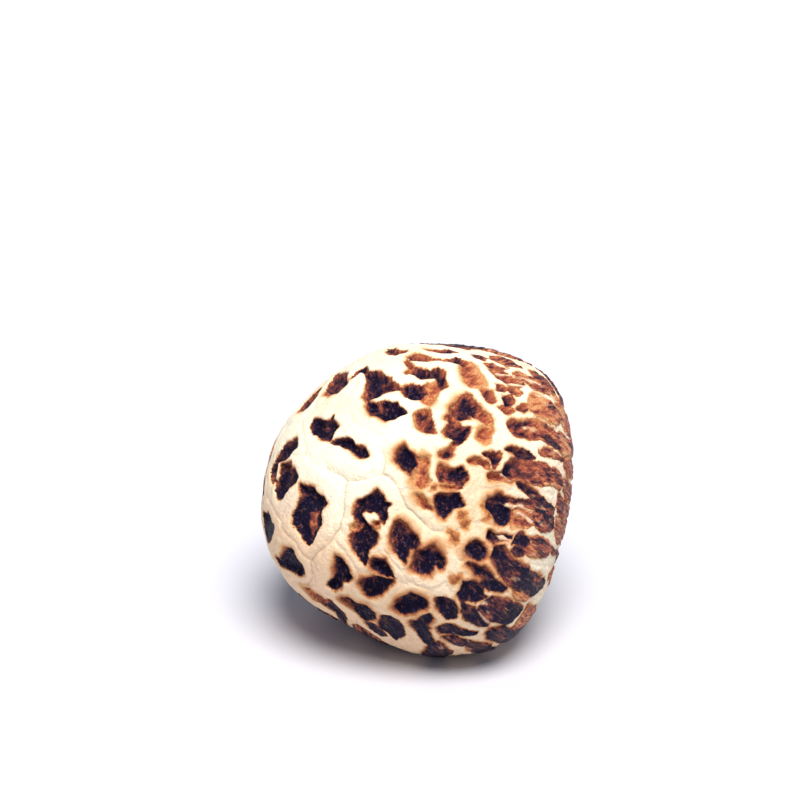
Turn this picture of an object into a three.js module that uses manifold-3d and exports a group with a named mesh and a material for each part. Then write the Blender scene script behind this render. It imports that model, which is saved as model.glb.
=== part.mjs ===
// A dried shiitake mushroom of the cracked "flower" kind: a thick domed cap with an in-rolled margin, crowded
// gills and a short bent stem. It lies tilted, on the flattened side of its margin and the end of its stem,
// crown to the front. Millimetres, +Z up, front at -Y. The mushroom grew in one piece, so it is one solid.
import * as THREE from "three";
import { mergeVertices } from "three/addons/utils/BufferGeometryUtils.js";
import Module from "manifold-3d";

const wasm = await Module();
wasm.setup();

const radians = THREE.MathUtils.degToRad;
const QUARTER = Math.PI / 2;

// Cap, measured from its centre
const CAP_RADIUS = 26;
const CROWN_HEIGHT = 25;
const MARGIN_ANGLE = radians(128);
const MARGIN_TUCK = 2.6;
const CAP_SIDES = 30;
const CAP_RINGS = 12;

// The rolled margin and the flesh above the gills, as (radius, height) from the cap's centre
const UNDERSIDE = [
  [17.3, -15.4],
  [15.4, -14.9],
  [15.2, -12.9],
  [17.5, -10.0],
  [14.5, -7.2],
  [6.0, -6.2],
];

// Cracked skin: patches near the crown are sunk in the swollen flesh, and those lower down stand proud of it
const PIT_DEPTH = 0.6;
const PLATE_RISE = 0.45;
const WEDGE_OVERRUN = 1.5;
const PLATE_ANGLE = radians(72);
const SKIN_END = radians(122);

// Gills, as blades that hang from the flesh and run into the margin and the stem
const GILL_PAIRS = 30;
const GILL_THICKNESS = 0.7;
const LONG_GILL = [
  [4.2, -5.2],
  [18.4, -6.4],
  [17.6, -11.4],
  [13.5, -12.0],
  [8.5, -11.2],
  [4.2, -9.4],
];
const SHORT_GILL = [
  [10.4, -5.8],
  [18.4, -6.4],
  [17.6, -11.1],
  [13.4, -11.1],
];

// Stem: it bends towards the surface that the mushroom lies on
const STEM_TOP = -6;
const STEM_END = -28.6;
const STEM_RADIUS = 5.1;
const STEM_FLARE = 1.5;
const STEM_BEND = 6.6;
const STEM_SIDES = 20;
const STEM_RINGS = 9;
const STEM_RIDGES = 5;
const STEM_RIDGE_DEPTH = 0.35;

// How it lies: the crown's height above the horizon, its turn to the left of the front, the surface's depth
const CROWN_LIFT = radians(37);
const CROWN_TURN = radians(30);
const FLOOR = -23.1;
const CAP_CENTRE = new THREE.Vector3(0.15, 0.83, -FLOOR);

// The front view that the cap's outline and skin patches are drawn in: 6 dots to the millimetre
const VIEW_LIFT = radians(24);
const VIEW_DISTANCE = 500;
const DOT = 1 / 6;
const VIEW_MIDDLE = [400, 400];
const CENTRE_DOT = [418, 500];

// Radius of the cap's outline in that view, every 20 degrees from the right, anticlockwise
const OUTLINE = [
  25.4, 27.3, 29.6, 28.0, 26.2, 25.9, 25.3, 25.2, 25.8, 26.0, 26.1, 24.9, 23.6, 24.4, 26.4, 27.9, 26.9, 25.3,
];

// Skin patches seen in that view: the corners of each, as dots across and dots down
const DRAWN_PATCHES = [
  [297, 411, 311, 393, 321, 384, 322, 389, 308, 406],
  [345, 372, 331, 377, 323, 394, 335, 393, 342, 388, 346, 380],
  [352, 376, 364, 366, 368, 371, 381, 372, 398, 387, 385, 390, 365, 399, 367, 384, 363, 373],
  [365, 398, 372, 403, 384, 400, 396, 401, 407, 410, 392, 418, 383, 419, 371, 415, 366, 408],
  [310, 425, 314, 419, 327, 420, 332, 417, 339, 426, 329, 439, 313, 435],
  [331, 441, 342, 439, 368, 452, 358, 455],
  [296, 439, 298, 446, 281, 461, 275, 469, 271, 480, 269, 474, 274, 462, 283, 449],
  [281, 463, 291, 465, 298, 477, 279, 500, 275, 489, 279, 478],
  [301, 484, 312, 489, 325, 503, 316, 536, 310, 546, 297, 532, 292, 520, 297, 505],
  [263, 508, 268, 510, 273, 518, 275, 528, 272, 541, 268, 538, 265, 526],
  [286, 547, 292, 549, 303, 568, 302, 574, 296, 576, 281, 562],
  [336, 556, 342, 560, 352, 576, 349, 581, 341, 581, 338, 589, 327, 582, 334, 576],
  [353, 505, 375, 494, 389, 504, 385, 522, 378, 514, 361, 512, 366, 526, 355, 524],
  [352, 532, 366, 529, 377, 537, 366, 550, 366, 564, 354, 555, 350, 545],
  [397, 519, 416, 538, 418, 543, 409, 549, 403, 562, 397, 555, 392, 535],
  [372, 562, 379, 557, 392, 577, 377, 571],
  [417, 556, 433, 549, 445, 564, 434, 566, 425, 575, 416, 571],
  [358, 582, 368, 578, 379, 579, 386, 584, 378, 597, 369, 597, 361, 590],
  [342, 598, 350, 598, 368, 608, 375, 615, 373, 620, 364, 616],
  [383, 615, 399, 620, 405, 632, 401, 640, 386, 639, 366, 620, 382, 626],
  [312, 597, 330, 601, 347, 621, 338, 618],
  [396, 604, 408, 594, 427, 603, 425, 609, 401, 613],
  [408, 621, 419, 622, 430, 615, 429, 632, 431, 641, 424, 640],
  [440, 600, 447, 600, 457, 612, 456, 618, 449, 619, 438, 606],
  [405, 446, 417, 459, 413, 474, 395, 458],
  [419, 459, 428, 458, 430, 480, 423, 487, 414, 482],
  [440, 470, 453, 472, 464, 468, 466, 486, 440, 481],
  [435, 497, 457, 494, 463, 503, 451, 514, 438, 511],
  [466, 550, 479, 541, 484, 547, 480, 560, 471, 557],
  [469, 566, 490, 574, 496, 581, 505, 583, 507, 588, 490, 589, 487, 581],
  [465, 581, 480, 583, 486, 595, 475, 598, 460, 597],
  [489, 597, 510, 601, 518, 604, 520, 611, 514, 617, 505, 620, 489, 619, 481, 607],
  [467, 611, 475, 610, 486, 624, 468, 621],
  [488, 624, 509, 622, 515, 630, 511, 639, 480, 649, 466, 647, 474, 640, 485, 639, 480, 632],
  [434, 629, 443, 626, 475, 632, 462, 634, 441, 633],
  [437, 636, 456, 637, 466, 641, 461, 645, 449, 642],
  [413, 650, 428, 645, 440, 643, 450, 650, 440, 654, 425, 654],
  [383, 351, 409, 350, 402, 354, 394, 356],
  [409, 359, 416, 355, 426, 354, 436, 359, 424, 361],
  [404, 363, 411, 368, 428, 371, 442, 369, 446, 380, 441, 388, 433, 377, 422, 378, 409, 375],
  [402, 385, 408, 383, 427, 384, 429, 391, 425, 397, 410, 399, 404, 395],
  [430, 385, 442, 389, 432, 405, 424, 400, 430, 393],
  [416, 413, 430, 410, 438, 432, 421, 430, 414, 424],
  [451, 411, 461, 396, 473, 398, 480, 410, 467, 418, 452, 419],
  [473, 418, 483, 412, 491, 424, 487, 427, 494, 433, 486, 443, 475, 432, 481, 425],
  [443, 434, 453, 421, 459, 427, 469, 427, 461, 443, 455, 446],
  [482, 390, 490, 390, 496, 401, 492, 405, 487, 401],
  [460, 363, 470, 361, 478, 367, 486, 383, 482, 388, 474, 388, 466, 384],
  [425, 349, 455, 349, 450, 352, 437, 353],
  [468, 352, 480, 353, 490, 358, 482, 358],
  [493, 355, 503, 358, 511, 362, 517, 368, 505, 364],
  [487, 362, 495, 363, 508, 368, 493, 367],
  [492, 370, 508, 374, 521, 382, 519, 387, 511, 387, 498, 379],
  [511, 374, 522, 373, 538, 381, 534, 385, 524, 381],
  [528, 385, 540, 384, 546, 388, 552, 395, 545, 395],
  [500, 392, 513, 400, 510, 407, 515, 412, 507, 415, 500, 411, 504, 404],
  [516, 406, 520, 402, 527, 407, 528, 412, 521, 413],
  [528, 400, 534, 397, 548, 406, 558, 420, 550, 421, 537, 417, 528, 409],
  [505, 424, 512, 421, 530, 422, 548, 428, 563, 437, 568, 442, 571, 452, 553, 446, 546, 441, 518, 436],
  [504, 449, 512, 448, 533, 455, 537, 460, 522, 458],
  [504, 470, 509, 462, 518, 460, 537, 462, 561, 479, 556, 484, 540, 484, 525, 476, 511, 482],
  [484, 452, 502, 454, 496, 468, 491, 460],
  [491, 499, 499, 496, 507, 501, 511, 516, 501, 525, 495, 520, 490, 508],
  [533, 492, 555, 513, 553, 530, 538, 530, 531, 512, 545, 512, 531, 498],
  [512, 509, 522, 509, 530, 516, 532, 525, 515, 527],
  [488, 535, 493, 530, 498, 536, 512, 539, 500, 542, 506, 547, 508, 556, 496, 564, 490, 559, 496, 551],
  [498, 565, 510, 557, 546, 579, 541, 589, 534, 596, 518, 590, 504, 582],
  [511, 540, 521, 533, 528, 545, 518, 556, 511, 551, 516, 546],
  [526, 548, 538, 543, 553, 549, 556, 558, 524, 554],
  [510, 623, 528, 607, 536, 606, 537, 613, 531, 631, 524, 638, 515, 638],
  [513, 588, 527, 594, 526, 601, 519, 598],
  [554, 449, 570, 457, 569, 466, 556, 458],
  [565, 468, 571, 472, 567, 476],
  [564, 480, 571, 484, 571, 499, 563, 489],
  [559, 496, 569, 504, 568, 519, 560, 515],
  [558, 520, 566, 526, 564, 541, 557, 531],
  [557, 561, 560, 549, 563, 551],
  [549, 579, 553, 566, 556, 568],
];

// Skin patches on the rest of the cap: cells round seeded sites, with the cracks left open between them
const WILD_SITES = 150;
const WILD_SEED = 11;
const DRAWN_LIMIT = Math.cos(radians(60));
const DRAWN_CLEARANCE = Math.cos(2.8 / CAP_RADIUS);
const CELL_REACH = 6.4;
const CELL_STRETCH = 1.5;
const CRACK_AT_CROWN = 1.0;
const CRACK_AT_MARGIN = 0.42;
const LEAST_SIDE = 1.8;

// The lying frame: the axis runs up to the crown, and the rest side faces the surface
const AXIS = new THREE.Vector3(
  -Math.sin(CROWN_TURN) * Math.cos(CROWN_LIFT),
  -Math.cos(CROWN_TURN) * Math.cos(CROWN_LIFT),
  Math.sin(CROWN_LIFT),
);
const REST_SIDE = AXIS.clone()
  .multiplyScalar(Math.sin(CROWN_LIFT))
  .add(new THREE.Vector3(0, 0, -1))
  .normalize();
const FLANK = AXIS.clone().cross(REST_SIDE);
const LYING = new THREE.Matrix4().makeBasis(REST_SIDE, FLANK, AXIS);
const UPRIGHT = LYING.clone().transpose();

const VIEW_RIGHT = new THREE.Vector3(1, 0, 0);
const VIEW_UP = new THREE.Vector3(0, Math.sin(VIEW_LIFT), Math.cos(VIEW_LIFT));
const VIEW_BACK = new THREE.Vector3(0, -Math.cos(VIEW_LIFT), Math.sin(VIEW_LIFT));

// A point of the view's plane, which passes near the cap's centre, from its dots across and down
function dotPoint(across, down) {
  return VIEW_RIGHT.clone()
    .multiplyScalar((across - CENTRE_DOT[0]) * DOT)
    .addScaledVector(VIEW_UP, (CENTRE_DOT[1] - down) * DOT);
}
const EYE = dotPoint(...VIEW_MIDDLE).addScaledVector(VIEW_BACK, VIEW_DISTANCE);

// The cap before it swells: its radius at an angle from the crown
function capRadius(angle) {
  if (angle <= QUARTER) return CAP_RADIUS + (CROWN_HEIGHT - CAP_RADIUS) * Math.cos(angle) ** 2;
  return CAP_RADIUS - MARGIN_TUCK * ((angle - QUARTER) / (MARGIN_ANGLE - QUARTER)) ** 2;
}

// How far the cap swells towards a lying direction, so that its outline from the front is OUTLINE
function swell(direction) {
  const across = direction.dot(VIEW_RIGHT);
  const up = direction.dot(VIEW_UP);
  const count = OUTLINE.length;
  const place = ((Math.atan2(up, across) / (2 * Math.PI) + 1) % 1) * count;
  const t = place - Math.floor(place);
  const [a, b, c, d] = [-1, 0, 1, 2].map((k) => OUTLINE[(Math.floor(place) + k + count) % count]);
  const radius = b + 0.5 * t * (c - a + t * (2 * a - 5 * b + 4 * c - d + t * (3 * (b - c) + d - a)));
  return 1 + (radius / CAP_RADIUS - 1) * (across * across + up * up);
}

// A point of the upright mushroom, lain down and swollen
function layDown(point) {
  const lying = point.clone().applyMatrix4(LYING);
  return lying.multiplyScalar(swell(lying.clone().normalize()));
}

// The upright direction from the cap's centre to where the eye's line through a dot meets the cap
function dotDirection(across, down) {
  const ray = dotPoint(across, down).sub(EYE).normalize();
  let near = VIEW_DISTANCE - 2 * CAP_RADIUS;
  let far = -EYE.dot(ray);
  const upright = (t) => EYE.clone().addScaledVector(ray, t);
  const height = (point) => {
    const direction = point.clone().normalize();
    const angle = direction.clone().applyMatrix4(UPRIGHT).angleTo(new THREE.Vector3(0, 0, 1));
    return point.length() - capRadius(angle) * swell(direction);
  };
  if (height(upright(far)) < 0) {
    for (let step = 0; step < 30; step++) {
      const middle = (near + far) / 2;
      if (height(upright(middle)) > 0) near = middle;
      else far = middle;
    }
  }
  return upright(far).normalize().applyMatrix4(UPRIGHT);
}

// A closed shape as a solid
function solid(geometry) {
  const plain = geometry.index ? geometry.toNonIndexed() : geometry.clone();
  plain.deleteAttribute("normal");
  plain.deleteAttribute("uv");
  const merged = mergeVertices(plain, 1e-4);
  return new wasm.Manifold(
    new wasm.Mesh({
      numProp: 3,
      vertProperties: merged.attributes.position.array,
      triVerts: new Uint32Array(merged.index.array),
    }),
  );
}

// A solid from corner points and triangles
function solidOf(points, triangles) {
  const vertProperties = new Float32Array(points.flatMap((p) => [p.x, p.y, p.z]));
  return new wasm.Manifold(
    new wasm.Mesh({ numProp: 3, vertProperties, triVerts: new Uint32Array(triangles.flat()) }),
  );
}

function capBody() {
  const profile = [];
  for (let ring = 0; ring <= CAP_RINGS; ring++) {
    const angle = (MARGIN_ANGLE * ring) / CAP_RINGS;
    const radius = capRadius(angle);
    profile.push(new THREE.Vector2(ring ? radius * Math.sin(angle) : 0, radius * Math.cos(angle)));
  }
  for (const [radius, height] of UNDERSIDE) profile.push(new THREE.Vector2(radius, height));
  profile.push(new THREE.Vector2(0, UNDERSIDE.at(-1)[1]));
  return solid(new THREE.LatheGeometry(profile.reverse(), CAP_SIDES).rotateX(QUARTER));
}

// Two directions square to a direction: down the cap from the crown, and round it
function tangents(direction) {
  const round = new THREE.Vector3(0, 0, 1).cross(direction).normalize();
  return [round.clone().cross(direction), round];
}

// A wedge with a patch's outline that widens outwards, between two heights over the cap's surface
function patchWedge(corners, bottom, top) {
  const middle = corners.reduce((sum, c) => sum.add(c), new THREE.Vector3()).normalize();
  const [down, round] = tangents(middle);
  let outline = corners.map((c) => new THREE.Vector2(c.dot(down), c.dot(round)));
  if (THREE.ShapeUtils.isClockWise(outline)) {
    outline = outline.reverse();
    corners = [...corners].reverse();
  }
  const count = corners.length;
  const lids = THREE.ShapeUtils.triangulateShape(outline, []);
  const points = [bottom, top].flatMap((height) =>
    corners.map((c) => c.clone().multiplyScalar(capRadius(Math.acos(c.z)) + height)),
  );
  const triangles = lids.flatMap(([a, b, c]) => [
    [a, c, b],
    [a + count, b + count, c + count],
  ]);
  corners.forEach((_, i) => {
    const next = (i + 1) % count;
    triangles.push([i, next, next + count], [i, next + count, i + count]);
  });
  return solidOf(points, triangles);
}

function drawnPatches() {
  return DRAWN_PATCHES.map((dots) => {
    const corners = [];
    for (let i = 0; i < dots.length; i += 2) corners.push(dotDirection(dots[i], dots[i + 1]));
    return corners;
  });
}

function randomSource(seed) {
  let state = seed;
  return () => (state = (state * 16807) % 2147483647) / 2147483647;
}

// The part of a flat outline within reach of the origin along normal
function clip(outline, normal, reach) {
  return outline.flatMap((a, i) => {
    const b = outline[(i + 1) % outline.length];
    const [da, db] = [a.dot(normal) - reach, b.dot(normal) - reach];
    const kept = da <= 0 ? [a] : [];
    if (da * db < 0) kept.push(a.clone().lerp(b, da / (da - db)));
    return kept;
  });
}

// Cells on the hidden part of the cap, clear of the drawn patches and of each other
function wildPatches(drawn) {
  const random = randomSource(WILD_SEED);
  const eye = EYE.clone().normalize().applyMatrix4(UPRIGHT);
  const corners = drawn.flat();
  const sites = [];
  for (let i = 0; i < WILD_SITES; i++) {
    const height = 1 - ((i + 0.2 + 0.6 * random()) / WILD_SITES) * (1 - Math.cos(SKIN_END));
    const turn = i * Math.PI * (3 - Math.sqrt(5)) + 0.5 * random();
    const span = Math.sqrt(1 - height * height);
    const site = new THREE.Vector3(span * Math.cos(turn), span * Math.sin(turn), height);
    const clear = corners.every((corner) => corner.dot(site) < DRAWN_CLEARANCE);
    if (clear && site.dot(eye) < DRAWN_LIMIT) sites.push(site);
  }
  const marks = [...sites, ...corners];
  return sites.map((site) => {
    const [down, round] = tangents(site);
    const angle = Math.acos(site.z);
    const stretch = 1 + (CELL_STRETCH - 1) * Math.min(1, angle / QUARTER);
    const crack = CRACK_AT_CROWN + (CRACK_AT_MARGIN - CRACK_AT_CROWN) * Math.min(1, angle / QUARTER);
    const wide = crack * (0.6 + 0.8 * random());
    const flat = (p) => new THREE.Vector2(p.dot(down) / stretch, p.dot(round)).multiplyScalar(CAP_RADIUS);
    let cell = [0, 1, 2, 3, 4, 5].map((k) => {
      const turn = (k + random()) * (Math.PI / 3);
      const reach = CELL_REACH * (0.55 + 0.4 * random());
      return new THREE.Vector2(Math.cos(turn), Math.sin(turn)).multiplyScalar(reach);
    });
    for (const mark of marks) {
      const offset = flat(mark);
      const distance = offset.length();
      if (mark === site || mark.dot(site) < 0.7 || distance > 3 * CELL_REACH) continue;
      cell = clip(cell, offset.clone().normalize(), distance / 2 - wide);
    }
    cell = cell.filter((p, i) => p.distanceTo(cell[(i + 1) % cell.length]) > LEAST_SIDE);
    return cell.map((p) =>
      site
        .clone()
        .addScaledVector(down, (p.x * stretch) / CAP_RADIUS)
        .addScaledVector(round, p.y / CAP_RADIUS)
        .normalize(),
    );
  });
}

function polarAngle(corners) {
  return corners.reduce((sum, c) => sum.add(c), new THREE.Vector3()).angleTo(new THREE.Vector3(0, 0, 1));
}

// The cap with its cracked skin cut and raised
function crackedCap() {
  const drawn = drawnPatches();
  const patches = [...drawn, ...wildPatches(drawn).filter((corners) => corners.length > 2)];
  const pits = [];
  const plates = [];
  for (const corners of patches) {
    if (polarAngle(corners) < PLATE_ANGLE) pits.push(patchWedge(corners, -PIT_DEPTH, WEDGE_OVERRUN));
    else plates.push(patchWedge(corners, -WEDGE_OVERRUN, PLATE_RISE));
  }
  return capBody().subtract(wasm.Manifold.union(pits)).add(wasm.Manifold.union(plates));
}

function gillBlade(profile, turn) {
  const shape = new THREE.Shape(profile.map(([radius, height]) => new THREE.Vector2(radius, height)));
  const blade = new THREE.ExtrudeGeometry(shape, { depth: GILL_THICKNESS, bevelEnabled: false });
  return solid(blade.translate(0, 0, -GILL_THICKNESS / 2).rotateX(QUARTER).rotateZ(turn));
}

function gills() {
  const blades = [];
  for (let pair = 0; pair < GILL_PAIRS; pair++) {
    const turn = (pair * 2 * Math.PI) / GILL_PAIRS;
    blades.push(gillBlade(LONG_GILL, turn), gillBlade(SHORT_GILL, turn + Math.PI / GILL_PAIRS));
  }
  return wasm.Manifold.union(blades);
}

function stem() {
  const points = [];
  const triangles = [];
  for (let ring = 0; ring <= STEM_RINGS; ring++) {
    const share = ring / STEM_RINGS;
    const height = STEM_TOP + (STEM_END - STEM_TOP) * share;
    const middle = STEM_BEND * share * share;
    const radius = STEM_RADIUS + STEM_FLARE * (1 - share) ** 3 + 0.5 * share * share;
    for (let side = 0; side < STEM_SIDES; side++) {
      const turn = (side * 2 * Math.PI) / STEM_SIDES;
      const ridged = radius + STEM_RIDGE_DEPTH * Math.cos(STEM_RIDGES * turn + 2 * share);
      points.push(new THREE.Vector3(middle + ridged * Math.cos(turn), ridged * Math.sin(turn), height));
    }
  }
  for (let ring = 0; ring < STEM_RINGS; ring++) {
    for (let side = 0; side < STEM_SIDES; side++) {
      const [a, b] = [ring * STEM_SIDES + side, ring * STEM_SIDES + ((side + 1) % STEM_SIDES)];
      triangles.push([a, b + STEM_SIDES, b], [a, a + STEM_SIDES, b + STEM_SIDES]);
    }
  }
  const last = STEM_RINGS * STEM_SIDES;
  for (let side = 1; side < STEM_SIDES - 1; side++) {
    triangles.push([0, side, side + 1], [last, last + side + 1, last + side]);
  }
  return solidOf(points, triangles);
}

// The mushroom as it lies, with a flat where it rests
function lyingMushroom() {
  const { vertProperties, triVerts, numProp } = crackedCap().add(gills()).add(stem()).getMesh();
  const points = [];
  for (let i = 0; i < vertProperties.length; i += numProp) {
    points.push(layDown(new THREE.Vector3().fromArray(vertProperties, i)));
  }
  const triangles = [];
  for (let i = 0; i < triVerts.length; i += 3) triangles.push([...triVerts.subarray(i, i + 3)]);
  const side = 4 * CAP_RADIUS;
  const below = new THREE.BoxGeometry(side, side, side).translate(0, 0, FLOOR - side / 2);
  const mesh = solidOf(points, triangles).subtract(solid(below)).getMesh();
  return new THREE.BufferGeometry()
    .setAttribute("position", new THREE.BufferAttribute(new Float32Array(mesh.vertProperties), 3))
    .setIndex(new THREE.BufferAttribute(new Uint32Array(mesh.triVerts), 1));
}

const mushroom = new THREE.Mesh(
  lyingMushroom(),
  new THREE.MeshStandardMaterial({ color: 0xc9a983, roughness: 0.85, metalness: 0 }),
);
mushroom.name = "shiitake";
mushroom.position.copy(CAP_CENTRE);

const part = new THREE.Group();
part.add(mushroom);
export default part;
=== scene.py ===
"""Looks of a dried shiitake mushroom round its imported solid: cracked cap, gills and stem, on a white floor.

Lengths are millimetres in the row's frame until a mesh is made, and metres from there on.
"""

import math

import bpy
import numpy as np
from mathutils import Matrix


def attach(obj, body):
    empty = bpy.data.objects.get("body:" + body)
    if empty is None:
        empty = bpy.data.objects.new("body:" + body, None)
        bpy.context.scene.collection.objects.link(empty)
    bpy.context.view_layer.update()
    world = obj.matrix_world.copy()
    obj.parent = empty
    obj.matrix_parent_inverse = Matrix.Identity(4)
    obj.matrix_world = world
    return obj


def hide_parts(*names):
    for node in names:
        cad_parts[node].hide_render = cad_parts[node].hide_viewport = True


MM = 0.001
TAU = 2 * math.pi

# Cap, as in the solid
CAP_RADIUS = 26.0
CROWN_HEIGHT = 25.0
MARGIN_ANGLE = math.radians(128)
MARGIN_TUCK = 2.6
LIP = [(17.3, -15.4), (16.2, -15.5), (15.4, -14.9), (15.0, -13.9), (15.2, -12.9), (17.5, -10.0), (14.5, -7.2)]
CEILING = -6.2

# How it lies
CROWN_LIFT = math.radians(37)
CROWN_TURN = math.radians(30)
FLOOR = -23.1
CAP_CENTRE = np.array([0.15, 0.83, -FLOOR])

# The photograph's view: 6 pixels to the millimetre at the cap's centre
VIEW_LIFT = math.radians(24)
VIEW_DISTANCE = 500.0
PIXEL = 1 / 6
PICTURE = 800
CENTRE_PIXEL = (418, 500)
SENSOR = 36.0

# Radius of the cap's outline in that view, every 20 degrees from the right, anticlockwise
OUTLINE = [
    25.4, 27.3, 29.6, 28.0, 26.2, 25.9, 25.3, 25.2, 25.8,
    26.0, 26.1, 24.9, 23.6, 24.4, 26.4, 27.9, 26.9, 25.3,
]

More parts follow.
